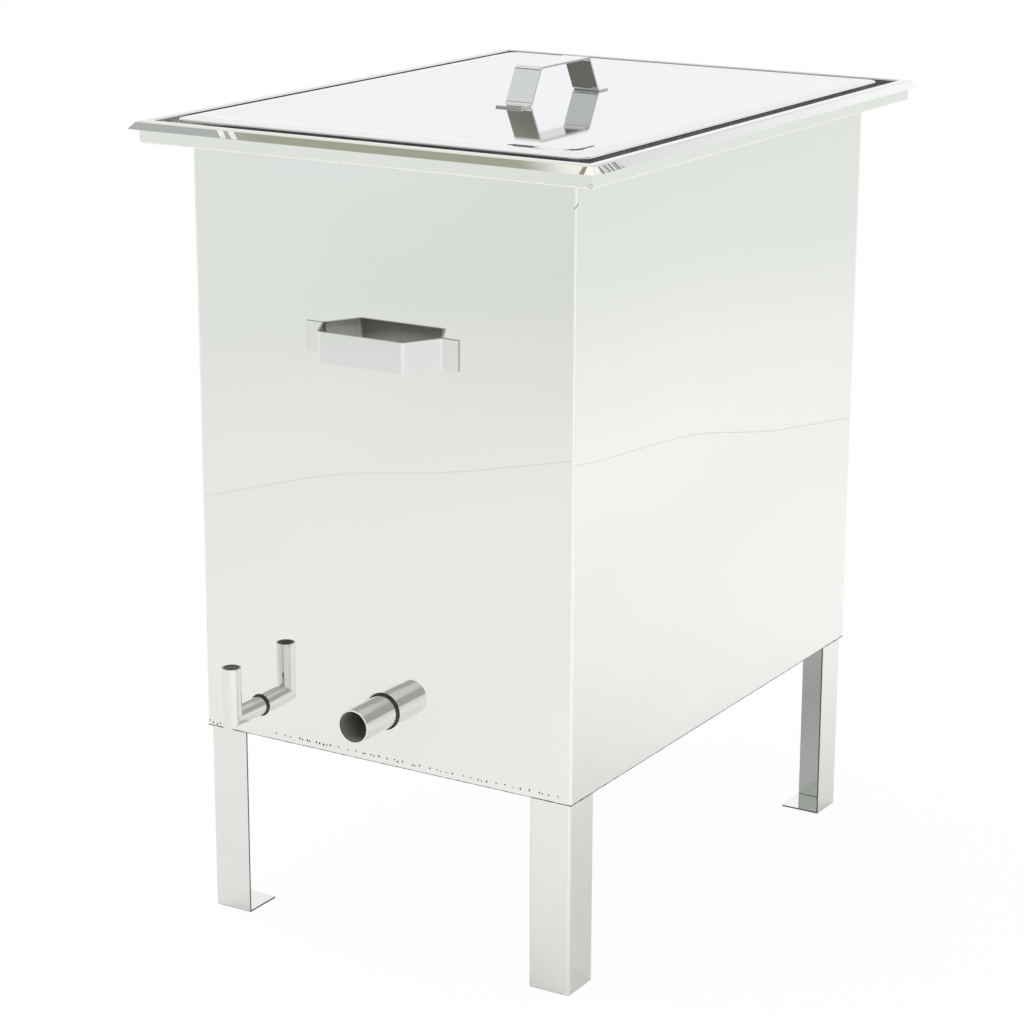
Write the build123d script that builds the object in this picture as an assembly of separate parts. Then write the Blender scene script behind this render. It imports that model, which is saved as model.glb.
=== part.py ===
from build123d import *
import os
from math import cos, hypot, radians, tan

os.makedirs("parts", exist_ok=True)

# Steam wax melter: a polished sheet tank on four legs, heated from below.
# X runs along the front, Y to the back and Z up, in millimetres.
# The tank stands over the origin in X. In Y the origin is in the middle of the whole object.

# Tank
TANK_WIDTH = 400.0          # outside of the side walls
TANK_DEPTH = 564.0          # outside of the front and rear walls
WALL_BOTTOM = 185.0         # ground to the lower edge of the walls
SHELL_HEIGHT = 559.0        # lower edge of the walls to the underside of the gutter
WALL_UPSTAND = 13.0         # walls above the underside of the gutter
SHEET = 1.0                 # walls, floor pan, gutter, rim and tray
CORNER_BEND = 2.5           # outside radius where the front or rear sheet turns to the side
FLOOR_FLANGE = 15.0         # turned-down edge of the floor pan

# Gutter and rim
GUTTER_WIDTH = 28.3         # wall to the inner face of the lip
LIP_HEIGHT = 19.0           # underside of the gutter to the top of its lip
FOLD_DEPTH = 5.0            # fold that hangs over the inside of the lip
FOLD_BEND = 1.6             # outside radius between that fold and the ridge
CAP_WIDTH = 6.9             # flat ridge from the inner face of the lip
HEM_WIDTH = 6.45            # sloping drip hem beyond the ridge
HEM_DROP = 7.45             # fall of that hem
HEM_BEND = 3.0              # inside radius between ridge and hem
FOOT_BEND = 0.5             # inside radius where the skirt turns in to the lip
SKIRT_STEP = 5.7            # inner face of the lip to the outer face of the skirt

# Lid
LID_SIDE_REACH = 14.0       # lid beyond the side walls
LID_END_REACH = 10.8        # lid beyond the front and rear walls
LID_HEIGHT = 20.2           # gutter floor to the flat of the lid
LID_SHEET = 1.0
LID_CORNER = 14.0           # outside radius of the upright corners
LID_BORDER = 22.0           # width of the slightly bent border
LID_BORDER_DROP = 0.7       # fall of that border
LID_EDGE = 1.4              # outside radius where the edge turns down
LID_HANDLE_OFFSET = 10.0    # lid handle to the right of the tank's middle

# Strap handles, the same on the lid and on both ends of the tank
HANDLE_WIDTH = 28.0
HANDLE_SHEET = 2.0
HANDLE_FOOT_SPAN = 124.0    # between the bends at the feet
HANDLE_TAB = 18.5           # flat tab beyond each foot
HANDLE_BAR = 88.0           # straight grip
HANDLE_RISE = 35.3          # outer face of the grip from what carries it
HANDLE_BEND = 4.0           # inside bend radius
HANDLE_HEIGHT = 394.5       # lower edge of the walls to the middle of a carry handle
CARRY_HANDLE_OFFSET = 3.0   # carry handle to the right of its wall's middle, seen from outside

# Legs
LEG_FLANGE = 41.0
LEG_SHEET = 1.5
LEG_BEND = 1.5              # inside bend radius

# Wax outlet
OUTLET_DIAMETER = 32.0
OUTLET_TUBE = 1.5           # tube wall
OUTLET_HEIGHT = 51.0        # lower edge of the walls to the tube's axis
OUTLET_REACH = 48.0         # beyond the front wall

# Water filler
FILLER_DIAMETER = 18.0
FILLER_TUBE = 1.5           # tube wall
FILLER_HEIGHT = 31.0        # lower edge of the walls to the tube's axis
FILLER_INSET = 61.0         # left side of the tank to the tube's axis
FILLER_REACH = 43.0         # front wall to the riser's axis
FILLER_RISE = 50.0          # tube's axis to the mouth of the riser
FILLER_INSIDE = 12.0        # tube inside the front wall

WELD_LEG = 1.5              # fillet bead where a tube meets the wall
TUBE_CLEARANCE = 0.1        # hole in the wall round a tube

# Wax tray
STEAM_GAP_SIDE = 14.0       # tray to the side walls
STEAM_GAP_REAR = 30.0       # tray to the rear wall
TRAY_CROSS_FALL = 12.0      # degrees, from each side to the middle
TRAY_FALL = 3.5             # degrees, from the rear to the front
TRAY_LIP = 15.0             # upstand of the tray's sides
DRAIN_STEP = 0.5            # valley above the bottom of the outlet's bore
BRACKET_WIDTH = 30.0
BRACKET_HEIGHT = 18.0
BRACKET_SHEET = 2.0
BRACKET_BEND = 1.0          # inside bend radius
BRACKET_DROP = 4.0          # top of a bracket below the tray's rear lip

# Comb basket
BASKET_GAP = 12.0           # basket to the tank's walls
BASKET_OVER_TRAY = 8.0      # basket floor above the tray's highest lip
BASKET_TOP_DROP = 57.0      # basket below the top of the walls
BASKET_SHEET = 1.0
HOOP_HEIGHT = 14.0
HOOP_THICKNESS = 4.0
SLOT_WIDTH = 6.0
SLOT_LENGTH = 46.0
SLOT_PITCH = 18.0           # slot to slot along a row
SLOT_BRIDGE = 16.0          # sheet left between rows
SLOT_MARGIN = 21.5          # least plain border of a slotted sheet
LIFT_WIDTH = 150.0          # lifting plate
LIFT_HEIGHT = 58.0
LIFT_SHEET = 3.0
LIFT_RADIUS = 12.0          # upper corners of a lifting plate
LIFT_GRIP = 14.0            # bar left round the finger hole

# Clips under the basket
CLIP_LENGTH = 40.0
CLIP_HEIGHT = 25.0
CLIP_COVER = 14.0           # how far a clip reaches under the basket
CLIP_SHEET = 1.5
CLIP_BEND = 1.0             # inside bend radius
CLIP_SPACING = 190.0        # middle clip to the ones in front and behind

# Levels and reaches that follow from the sizes above
half_width = TANK_WIDTH / 2
half_depth = TANK_DEPTH / 2
inside_x = half_width - SHEET
inside_y = half_depth - SHEET
gutter_z = WALL_BOTTOM + SHELL_HEIGHT
gutter_floor = gutter_z + SHEET
wall_top = gutter_z + WALL_UPSTAND
lip_top = gutter_z + LIP_HEIGHT
rim_top = lip_top + SHEET
floor_top = WALL_BOTTOM + FLOOR_FLANGE
lip_outer = GUTTER_WIDTH + SHEET
skirt_outer = GUTTER_WIDTH + SKIRT_STEP
hem_start = GUTTER_WIDTH + CAP_WIDTH
hem_reach = hem_start + HEM_WIDTH
hem_under = rim_top - HEM_DROP
lid_top = gutter_floor + LID_HEIGHT
handle_z = WALL_BOTTOM + HANDLE_HEIGHT
outlet_z = WALL_BOTTOM + OUTLET_HEIGHT
outlet_radius = OUTLET_DIAMETER / 2
outlet_bore = outlet_radius - OUTLET_TUBE
filler_x = FILLER_INSET - half_width
filler_z = WALL_BOTTOM + FILLER_HEIGHT
filler_radius = FILLER_DIAMETER / 2
filler_bore = filler_radius - FILLER_TUBE

tray_half = inside_x - STEAM_GAP_SIDE
tray_front = -inside_y
tray_rear = inside_y - STEAM_GAP_REAR
tray_length = tray_rear - tray_front
tray_climb = tray_length * tan(radians(TRAY_FALL))
valley_z = outlet_z - outlet_bore + DRAIN_STEP - SHEET
wing_z = valley_z + tray_half * tan(radians(TRAY_CROSS_FALL))
tray_rear_top = wing_z + TRAY_LIP + tray_climb

basket_floor = tray_rear_top + BASKET_OVER_TRAY
basket_top = wall_top - BASKET_TOP_DROP
basket_x = inside_x - BASKET_GAP
basket_y = inside_y - BASKET_GAP

rear_reach = half_depth + max(hem_reach, HANDLE_RISE)
front_reach = half_depth + max(hem_reach, HANDLE_RISE, OUTLET_REACH, FILLER_REACH + filler_radius)
frame_shift = Pos(0, (front_reach - rear_reach) / 2, 0)

SIDES = {"front": (0, -1), "rear": (0, 1), "left": (-1, 0), "right": (1, 0)}
UP = Vector(0, 0, 1)


def save(name, shape):
    """Write one node, moved so that the origin is under the middle of the object."""
    export_step(frame_shift * shape, f"parts/{name}.step")
    print(f"{name}: {len(shape.solids())} solid(s), {shape.volume / 1000:.1f} cm3")


def block(low, high):
    """A box between two opposite corners."""
    middle = [(a + b) / 2 for a, b in zip(low, high)]
    size = [b - a for a, b in zip(low, high)]
    return Pos(*middle) * Box(*size)


def upright(section, low, high):
    """A plan section raised between two levels."""
    return Pos(0, 0, low) * extrude(section, high - low)


def bent_strip(path, thickness, bend):
    """Section of a bent sheet: one face follows the path, the other lies to its left."""
    steps = [(b[0] - a[0], b[1] - a[1]) for a, b in zip(path, path[1:])]
    lefts = [(-dy / hypot(dx, dy), dx / hypot(dx, dy)) for dx, dy in steps]
    ends = [lefts[0], *lefts, lefts[-1]]
    other, path_radii, other_radii = [], [], []
    for point, before, after in zip(path, ends, ends[1:]):
        share = thickness / (1 + before[0] * after[0] + before[1] * after[1])
        other.append((point[0] + share * (before[0] + after[0]), point[1] + share * (before[1] + after[1])))
    for before, after in zip(lefts, lefts[1:]):
        turns_left = before[0] * after[1] - before[1] * after[0] > 0
        path_radii.append(bend + thickness if turns_left else bend)
        other_radii.append(bend if turns_left else bend + thickness)
    edges = FilletPolyline(*path, radius=path_radii).edges()
    edges += FilletPolyline(*other, radius=other_radii).edges()
    edges += [Edge.make_line(path[0], other[0]), Edge.make_line(path[-1], other[-1])]
    return make_face(edges)


# Tank walls


def shell():
    """All four walls in one ring, before they are parted at the seams."""
    outside = RectangleRounded(TANK_WIDTH, TANK_DEPTH, CORNER_BEND)
    inside = RectangleRounded(2 * inside_x, 2 * inside_y, CORNER_BEND - SHEET)
    return upright(outside - inside, WALL_BOTTOM, wall_top)


def end_wall(end):
    """Front (end = -1) or rear (end = 1) sheet, with its bends round both corners."""
    y_range = sorted((end * (half_depth - CORNER_BEND), end * half_depth))
    return shell() & block((-half_width, y_range[0], WALL_BOTTOM), (half_width, y_range[1], wall_top))


def side_wall(side):
    """Left (side = -1) or right (side = 1) sheet, between the bends of the end sheets."""
    seam_y = half_depth - CORNER_BEND
    x_range = sorted((side * (half_width - CORNER_BEND), side * half_width))
    return shell() & block((x_range[0], -seam_y, WALL_BOTTOM), (x_range[1], seam_y, wall_top))


def front_axis(x, z):
    """Frame on the front wall's outer face, with its Z axis pointing forwards."""
    return Plane(origin=(x, -half_depth, z), x_dir=(1, 0, 0), z_dir=(0, -1, 0))


def tube_hole(x, z, radius):
    """Cutter for a tube's hole through the front wall."""
    return front_axis(x, z) * Cylinder(radius + TUBE_CLEARANCE, 4 * SHEET)


def front_wall():
    holes = tube_hole(0, outlet_z, outlet_radius) + tube_hole(filler_x, filler_z, filler_radius)
    return end_wall(-1) - holes


def floor_pan():
    """Boiler floor, with its edge turned down inside the foot of the walls."""
    outside = RectangleRounded(2 * inside_x, 2 * inside_y, CORNER_BEND)
    inside = Rectangle(2 * (inside_x - SHEET), 2 * (inside_y - SHEET))
    return upright(outside, WALL_BOTTOM, floor_top) - upright(inside, WALL_BOTTOM, floor_top - SHEET)


# Gutter and rim, one mitred strip to a side


def gutter_section():
    return make_face(Polyline(
        (0, gutter_z), (lip_outer, gutter_z), (lip_outer, lip_top),
        (GUTTER_WIDTH, lip_top), (GUTTER_WIDTH, gutter_floor), (0, gutter_floor), close=True,
    ))


def rim_section():
    """Fold over the gutter's lip, ridge, sloping drip hem, return, skirt and a foot back to the lip."""
    fold_inner = GUTTER_WIDTH - SHEET
    fold_foot = rim_top - FOLD_DEPTH
    skirt_inner = skirt_outer - SHEET
    hem_slope = hypot(HEM_WIDTH, HEM_DROP)
    ridge_inner = hem_start - SHEET * HEM_DROP / (hem_slope + HEM_WIDTH)
    return_top = hem_under + SHEET
    tip_inner = ridge_inner + (lip_top - return_top) * HEM_WIDTH / HEM_DROP
    ridge_middle = GUTTER_WIDTH + CAP_WIDTH / 2
    outer_fold = FilletPolyline(
        (fold_inner, fold_foot), (fold_inner, rim_top), (ridge_middle, rim_top), radius=FOLD_BEND
    )
    outer_hem = FilletPolyline(
        (ridge_middle, rim_top), (hem_start, rim_top), (hem_reach, hem_under), radius=HEM_BEND + SHEET
    )
    inner_hem = FilletPolyline(
        (GUTTER_WIDTH, lip_top), (ridge_inner, lip_top), (tip_inner, return_top), radius=HEM_BEND
    )
    outer_foot = FilletPolyline(
        (skirt_outer, hem_under), (skirt_outer, gutter_z), (lip_outer, gutter_z), radius=FOOT_BEND + SHEET
    )
    inner_foot = FilletPolyline(
        (skirt_inner, return_top), (skirt_inner, gutter_floor), (lip_outer, gutter_floor), radius=FOOT_BEND
    )
    joints = [
        Edge.make_line((fold_inner, fold_foot), (GUTTER_WIDTH, fold_foot)),
        Edge.make_line((GUTTER_WIDTH, fold_foot), (GUTTER_WIDTH, lip_top)),
        Edge.make_line((hem_reach, hem_under), (skirt_outer, hem_under)),
        Edge.make_line((tip_inner, return_top), (skirt_inner, return_top)),
        Edge.make_line((lip_outer, gutter_z), (lip_outer, gutter_floor)),
    ]
    curves = [outer_fold, outer_hem, inner_hem, outer_foot, inner_foot]
    return make_face([edge for curve in curves for edge in curve.edges()] + joints)


def mitred_strip(section, outward):
    """Run a section (out from the wall, up) along one side of the tank, mitred at both ends."""
    out = Vector(*outward, 0)
    along = out.cross(UP)
    on_end = outward[0] == 0
    run = half_width if on_end else half_depth
    wall_middle = out * (half_depth if on_end else half_width)
    bar = extrude(Plane(wall_middle, x_dir=out, z_dir=along) * section, run + hem_reach, both=True)
    mitre = Polygon(
        (-run, 0), (run, 0), (run + hem_reach, hem_reach), (-run - hem_reach, hem_reach), align=None
    )
    wedge = extrude(Plane(wall_middle, x_dir=along, z_dir=UP) * mitre, rim_top + SHEET)
    return bar & wedge


# Lid


def lid_layer(inset, lower):
    """Solid of the lid's outer form, drawn in by inset and lowered at the top by lower."""
    width = TANK_WIDTH + 2 * LID_SIDE_REACH - 2 * inset
    depth = TANK_DEPTH + 2 * LID_END_REACH - 2 * inset
    edge = LID_EDGE - inset
    shoulder_z = lid_top - LID_BORDER_DROP - lower
    skirt = upright(RectangleRounded(width, depth, LID_CORNER - inset), gutter_floor, shoulder_z)
    skirt = fillet(skirt.edges().group_by(Axis.Z)[-1], edge)
    crown_foot = RectangleRounded(width - 2 * edge, depth - 2 * edge, LID_CORNER - LID_EDGE)
    flat = RectangleRounded(width - 2 * LID_BORDER, depth - 2 * LID_BORDER, LID_CORNER - LID_EDGE)
    crown = loft([Pos(0, 0, shoulder_z) * crown_foot, Pos(0, 0, lid_top - lower) * flat], ruled=True)
    return skirt + crown


def lid_pan():
    """Inverted pan: flat top, border falling slightly, edge turned down into the gutter."""
    return lid_layer(0, 0) - lid_layer(LID_SHEET, LID_SHEET)


# Strap handles


def strap_handle():
    """Bent strap along X, standing up in Z from its two tabs."""
    foot = HANDLE_FOOT_SPAN / 2
    grip = HANDLE_BAR / 2
    under = HANDLE_RISE - HANDLE_SHEET
    half_path = [(grip, under), (foot, 0), (foot + HANDLE_TAB, 0)]
    path = [(-x, z) for x, z in reversed(half_path)] + half_path
    section = bent_strip(path, HANDLE_SHEET, HANDLE_BEND)
    return extrude(Plane.XZ * section, HANDLE_WIDTH / 2, both=True)


def carry_handle(end):
    """Strap handle on the front (end = -1) or rear (end = 1) wall."""
    middle = (-end * CARRY_HANDLE_OFFSET, end * half_depth, handle_z)
    return Plane(middle, x_dir=(-end, 0, 0), z_dir=(0, end, 0)) * strap_handle()


# Legs


def leg():
    """L-section leg with its foot plate, its outer corner at the origin and its flanges along +X and +Y."""
    outside = square_corner(0, LEG_BEND + LEG_SHEET)
    inside = square_corner(LEG_SHEET, LEG_BEND)
    return extrude(outside - inside, floor_top - SHEET) + extrude(outside, LEG_SHEET)


def square_corner(start, radius):
    """Square from (start, start) to the ends of the leg's flanges, rounded at its first corner."""
    far = LEG_FLANGE
    edges = FilletPolyline((start, far), (start, start), (far, start), radius=radius).edges()
    edges += Polyline((far, start), (far, far), (start, far)).edges()
    return make_face(edges)


def placed_leg(side, end):
    turn = {(-1, -1): 0, (1, -1): 90, (1, 1): 180, (-1, 1): 270}[side, end]
    inset = 2 * SHEET
    return Pos(side * (half_width - inset), end * (half_depth - inset), 0) * Rot(0, 0, turn) * leg()


# Tubes


def tube(radius, bore, start, stop):
    """Tube along Z from start to stop."""
    length = stop - start
    return Pos(0, 0, start + length / 2) * (Cylinder(radius, length) - Cylinder(bore, length))


def weld_bead(radius, bore):
    """Fillet bead round a tube, standing on the wall at Z = 0."""
    bead = Cone(radius + WELD_LEG, radius, WELD_LEG) - Cylinder(bore, WELD_LEG)
    return Pos(0, 0, WELD_LEG / 2) * bead


def wax_outlet_pipe():
    pipe = tube(outlet_radius, outlet_bore, -SHEET, OUTLET_REACH) + weld_bead(outlet_radius, outlet_bore)
    return front_axis(0, outlet_z) * pipe


def elbow_mitre():
    """Plane of the filler's 45 degree joint, facing out and up."""
    return Plane((filler_x, -half_depth - FILLER_REACH, filler_z), x_dir=(1, 0, 0), z_dir=(0, -1, 1))


def filler_pipe():
    pipe = tube(filler_radius, filler_bore, -SHEET - FILLER_INSIDE, FILLER_REACH + FILLER_DIAMETER)
    pipe += weld_bead(filler_radius, filler_bore)
    return split(front_axis(filler_x, filler_z) * pipe, bisect_by=elbow_mitre(), keep=Keep.BOTTOM)


def filler_riser():
    riser = tube(filler_radius, filler_bore, filler_z - FILLER_DIAMETER, filler_z + FILLER_RISE)
    placed = Pos(filler_x, -half_depth - FILLER_REACH, 0) * riser
    return split(placed, bisect_by=elbow_mitre(), keep=Keep.TOP)


# Wax tray and what carries it


def tray_prism(half, low, top, start, stop):
    """V-bottomed prism between two stations in Y, climbing to the rear with the tray."""
    rise = half * tan(radians(TRAY_CROSS_FALL))
    lift = (start - tray_front) * tan(radians(TRAY_FALL))
    section = Polygon(
        (-half, top + lift), (-half, low + rise + lift), (0, low + lift),
        (half, low + rise + lift), (half, top + lift), align=None,
    )
    face = Plane((0, start, 0), x_dir=(1, 0, 0), z_dir=(0, -1, 0)) * section
    length = (stop - start) / cos(radians(TRAY_FALL))
    return extrude(face, length, dir=(0, 1, tan(radians(TRAY_FALL))))


def wax_tray():
    """Folded tray: two wings falling to a valley, and the valley falling to the outlet."""
    lip_level = wing_z + TRAY_LIP
    outside = tray_prism(tray_half, valley_z, lip_level, tray_front, tray_rear)
    hollow = tray_prism(
        tray_half - SHEET, valley_z + SHEET, lip_level + TRAY_LIP, tray_front + SHEET, tray_rear - SHEET
    )
    drain_axis = Plane((0, tray_front, outlet_z), x_dir=(1, 0, 0), z_dir=(0, 1, 0))
    return outside - hollow - drain_axis * Cylinder(outlet_bore, 2 * SHEET)


def tray_brackets():
    """Two channels across the steam gap, from the tray's rear face to the rear wall."""
    top = tray_rear_top - BRACKET_DROP
    low = top - BRACKET_HEIGHT
    path = [(tray_rear, top), (tray_rear, low), (inside_y, low), (inside_y, top)]
    section = bent_strip(path, BRACKET_SHEET, BRACKET_BEND)
    channel = extrude(Plane.YZ * section, BRACKET_WIDTH / 2, both=True)
    return Compound([Pos(side * tray_half / 2, 0, 0) * channel for side in (-1, 1)])


def basket_clips():
    """Angles welded to the side walls, three to a side, on which the basket stands."""
    reach = BASKET_GAP + CLIP_COVER
    foot = (inside_x, basket_floor - CLIP_HEIGHT)
    path = [foot, (inside_x, basket_floor), (inside_x - reach, basket_floor)]
    section = bent_strip(path, CLIP_SHEET, CLIP_BEND)
    clip = extrude(Plane.XZ * section, CLIP_LENGTH / 2, both=True)
    row = [Pos(0, step * CLIP_SPACING, 0) * clip for step in (-1, 0, 1)]
    return Compound(row + [Rot(0, 0, 180) * one for one in row])


# Comb basket


def slotted_sheet(length, height):
    """Sheet with rows of slots that stand along its height, centred on the origin."""
    row_pitch = SLOT_LENGTH + SLOT_BRIDGE
    columns = int((length - 2 * SLOT_MARGIN - SLOT_WIDTH) // SLOT_PITCH) + 1
    rows = int((height - 2 * SLOT_MARGIN - SLOT_LENGTH) // row_pitch) + 1
    slot = Rectangle(SLOT_WIDTH, SLOT_LENGTH).wire()
    slots = [place * slot for place in GridLocations(SLOT_PITCH, row_pitch, columns, rows)]
    return extrude(Face(Rectangle(length, height).wire(), slots), BASKET_SHEET)


def basket_panel(outward):
    """One slotted side of the basket, standing on the edge of its floor."""
    on_end = outward[0] == 0
    length = 2 * (basket_x - BASKET_SHEET) if on_end else 2 * basket_y
    foot_z = basket_floor + BASKET_SHEET
    inner_face = Vector(*outward, 0) * ((basket_y if on_end else basket_x) - BASKET_SHEET)
    middle = inner_face + UP * ((foot_z + basket_top) / 2)
    place = Plane(middle, x_dir=UP.cross(Vector(*outward, 0)), z_dir=(*outward, 0))
    return place * slotted_sheet(length, basket_top - foot_z)


def basket_bottom():
    return Pos(0, 0, basket_floor) * slotted_sheet(2 * basket_x, 2 * basket_y)


def basket_hoop():
    """Flat bar round the inside of the basket's mouth."""
    outside = Rectangle(2 * (basket_x - BASKET_SHEET), 2 * (basket_y - BASKET_SHEET))
    inner_x = basket_x - BASKET_SHEET - HOOP_THICKNESS
    inner_y = basket_y - BASKET_SHEET - HOOP_THICKNESS
    return upright(outside - Rectangle(2 * inner_x, 2 * inner_y), basket_top - HOOP_HEIGHT, basket_top)


def basket_lift(end):
    """Lifting plate inside the hoop at the front (end = -1) or rear (end = 1)."""
    half = LIFT_WIDTH / 2
    top = LIFT_HEIGHT - HOOP_HEIGHT
    low = -HOOP_HEIGHT
    edges = FilletPolyline((-half, low), (-half, top), (half, top), (half, low), radius=LIFT_RADIUS).edges()
    edges += [Edge.make_line((-half, low), (half, low))]
    hole_top = top - LIFT_GRIP
    hole = Pos(0, hole_top / 2) * RectangleRounded(LIFT_WIDTH - 2 * LIFT_GRIP, hole_top, LIFT_RADIUS / 2)
    inner_y = basket_y - BASKET_SHEET - HOOP_THICKNESS
    place = Plane((0, end * inner_y, basket_top), x_dir=(end, 0, 0), z_dir=(0, -end, 0))
    return place * extrude(make_face(edges) - hole, LIFT_SHEET)


# Write every node

save("front_wall", front_wall())
save("rear_wall", end_wall(1))
save("left_wall", side_wall(-1))
save("right_wall", side_wall(1))
save("floor_pan", floor_pan())

for side_name, outward in SIDES.items():
    save(f"{side_name}_gutter", mitred_strip(gutter_section(), outward))
    save(f"{side_name}_rim", mitred_strip(rim_section(), outward))
    save(f"basket_{side_name}", basket_panel(outward))

for side_name, side in (("left", -1), ("right", 1)):
    save(f"front_{side_name}_leg", placed_leg(side, -1))
    save(f"rear_{side_name}_leg", placed_leg(side, 1))

for end_name, end in (("front", -1), ("rear", 1)):
    save(f"{end_name}_handle", carry_handle(end))
    save(f"basket_{end_name}_lift", basket_lift(end))

save("wax_outlet_pipe", wax_outlet_pipe())
save("filler_pipe", filler_pipe())
save("filler_riser", filler_riser())
save("wax_tray", wax_tray())
save("tray_brackets", tray_brackets())
save("basket_clips", basket_clips())
save("basket_bottom", basket_bottom())
save("basket_hoop", basket_hoop())
save("lid_pan", lid_pan())
save("lid_handle", Pos(LID_HANDLE_OFFSET, 0, lid_top) * Rot(0, 0, 90) * strap_handle())
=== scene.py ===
# %% [markdown]
# # Steam wax melter
# A beekeeper fills the foot of this stainless tank with water, boils it, and hangs old combs in a
# slotted basket over it. Steam melts the wax, which runs down a sloping tray and out of the front pipe.
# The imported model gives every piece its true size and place. This lesson adds what the eye meets first:
# mirror polish, sheets that are not quite flat, welds, and a plain white studio to reflect.

import math
import random

import bmesh
import bpy
from mathutils import Matrix, Vector


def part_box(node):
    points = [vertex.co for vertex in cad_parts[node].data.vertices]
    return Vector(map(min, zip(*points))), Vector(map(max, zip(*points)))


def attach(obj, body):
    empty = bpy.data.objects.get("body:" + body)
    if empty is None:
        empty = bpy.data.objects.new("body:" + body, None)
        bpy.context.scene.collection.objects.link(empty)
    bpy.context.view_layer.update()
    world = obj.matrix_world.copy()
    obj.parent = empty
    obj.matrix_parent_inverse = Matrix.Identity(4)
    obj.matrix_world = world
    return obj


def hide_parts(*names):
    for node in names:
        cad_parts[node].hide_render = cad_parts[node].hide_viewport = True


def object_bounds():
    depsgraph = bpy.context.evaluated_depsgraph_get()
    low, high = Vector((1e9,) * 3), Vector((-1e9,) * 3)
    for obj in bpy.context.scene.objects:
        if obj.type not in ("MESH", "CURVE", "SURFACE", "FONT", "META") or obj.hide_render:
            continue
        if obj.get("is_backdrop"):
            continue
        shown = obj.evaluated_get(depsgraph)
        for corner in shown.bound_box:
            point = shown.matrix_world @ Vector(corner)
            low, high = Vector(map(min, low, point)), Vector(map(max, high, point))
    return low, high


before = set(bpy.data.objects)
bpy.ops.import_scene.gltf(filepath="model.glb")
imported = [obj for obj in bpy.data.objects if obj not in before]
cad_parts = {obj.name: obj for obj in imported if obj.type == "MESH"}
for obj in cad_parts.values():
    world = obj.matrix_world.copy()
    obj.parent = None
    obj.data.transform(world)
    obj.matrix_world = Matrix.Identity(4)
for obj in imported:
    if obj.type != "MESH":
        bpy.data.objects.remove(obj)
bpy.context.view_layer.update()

# %% [markdown]
# ## Camera
# A product photograph is taken with a long lens, so that upright edges stay nearly parallel. The place,
# turn and focal length below were worked out from the tank's own corners. A camera can also be aimed by
# a constraint, but three plain angles are easier to read and stay put.

# %% Camera
SENSOR_MM = 36
IMAGE_PIXELS = 1024
FOCAL_PIXELS = 2902.3
CAMERA_PLACE = (1.4017, -2.3555, 1.1418)
CAMERA_AZIMUTH = math.radians(31.30)
CAMERA_ELEVATION = math.radians(15.94)
CAMERA_ROLL = math.radians(0.20)

lens = bpy.data.cameras.new("photo_camera")
lens.sensor_width = SENSOR_MM
lens.lens = SENSOR_MM * FOCAL_PIXELS / IMAGE_PIXELS
camera = bpy.data.objects.new("photo_camera", lens)
turn = Matrix.Rotation(CAMERA_AZIMUTH, 4, "Z") @ Matrix.Rotation(math.pi / 2 - CAMERA_ELEVATION, 4, "X")
camera.matrix_world = Matrix.Translation(CAMERA_PLACE) @ turn @ Matrix.Rotation(CAMERA_ROLL, 4, "Z")
bpy.context.scene.collection.objects.link(camera)
bpy.context.scene.camera = camera
bpy.context.scene.view_settings.view_transform = "Standard"
print("lens", round(lens.lens, 1), "mm")

# %% [markdown]
# ## Node helpers
# Every finish here is a small graph of nodes. Four helpers keep the graphs short. The first adds a node
# and fills in its inputs, where an input can be a number or another node's output. The others do one sum,
# mix two colours, and read a colour along a row of stops.

# %% Node helpers
MIX_INPUTS = (0, 6, 7)  # the Mix node's factor and its two colours
MIX_RESULT = 2


def add_node(tree, kind, settings=None, **inputs):
    """Adds a node, sets its options, and fills its inputs, which go by name or as i0, i1 and so on."""
    node = tree.nodes.new(kind)
    for option, value in (settings or {}).items():
        setattr(node, option, value)
    for name, value in inputs.items():
        key = name.replace("_", " ")
        socket = node.inputs[int(key[1:])] if key[0] == "i" and key[1:].isdigit() else node.inputs[key]
        if isinstance(value, bpy.types.NodeSocket):
            tree.links.new(value, socket)
        else:
            socket.default_value = value
    return node


def scalar(tree, operation, first, second=0.0):
    """The output of one Math node."""
    return add_node(tree, "ShaderNodeMath", {"operation": operation}, i0=first, i1=second).outputs[0]


def colour_mix(tree, factor, first, second):
    """The colour between two colours."""
    mix = tree.nodes.new("ShaderNodeMix")
    mix.data_type = "RGBA"
    for index, value in zip(MIX_INPUTS, (factor, first, second)):
        if isinstance(value, bpy.types.NodeSocket):
            tree.links.new(value, mix.inputs[index])
        else:
            mix.inputs[index].default_value = value
    return mix.outputs[MIX_RESULT]


def colour_ramp(tree, factor, stops):
    """A colour read along a list of (place, colour) stops."""
    ramp = add_node(tree, "ShaderNodeValToRGB", Fac=factor)
    while len(ramp.color_ramp.elements) < len(stops):
        ramp.color_ramp.elements.new(0.5)
    for element, (place, colour) in zip(ramp.color_ramp.elements, stops):
        element.position = place
        element.color = (*colour, 1)
    return ramp.outputs[0]


print("node helpers ready")

# %% [markdown]
# ## The studio that the steel reflects
# Mirror steel has hardly any colour of its own: it shows the room. The room here is a white sweep under
# a grey and olive wall, a dark cornice and a pale ceiling, and it is dimmer on the side that the camera
# stands on. So upright faces look white, slanting hems grey and round tubes banded. A window, a
# skylight and two dark doorways are small, but the hem and the handle find them. Panels could be built
# round the object, but they would get in the way of the other views. The world can hold the room instead,
# read by direction, while the camera itself looks straight through to white.

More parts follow.
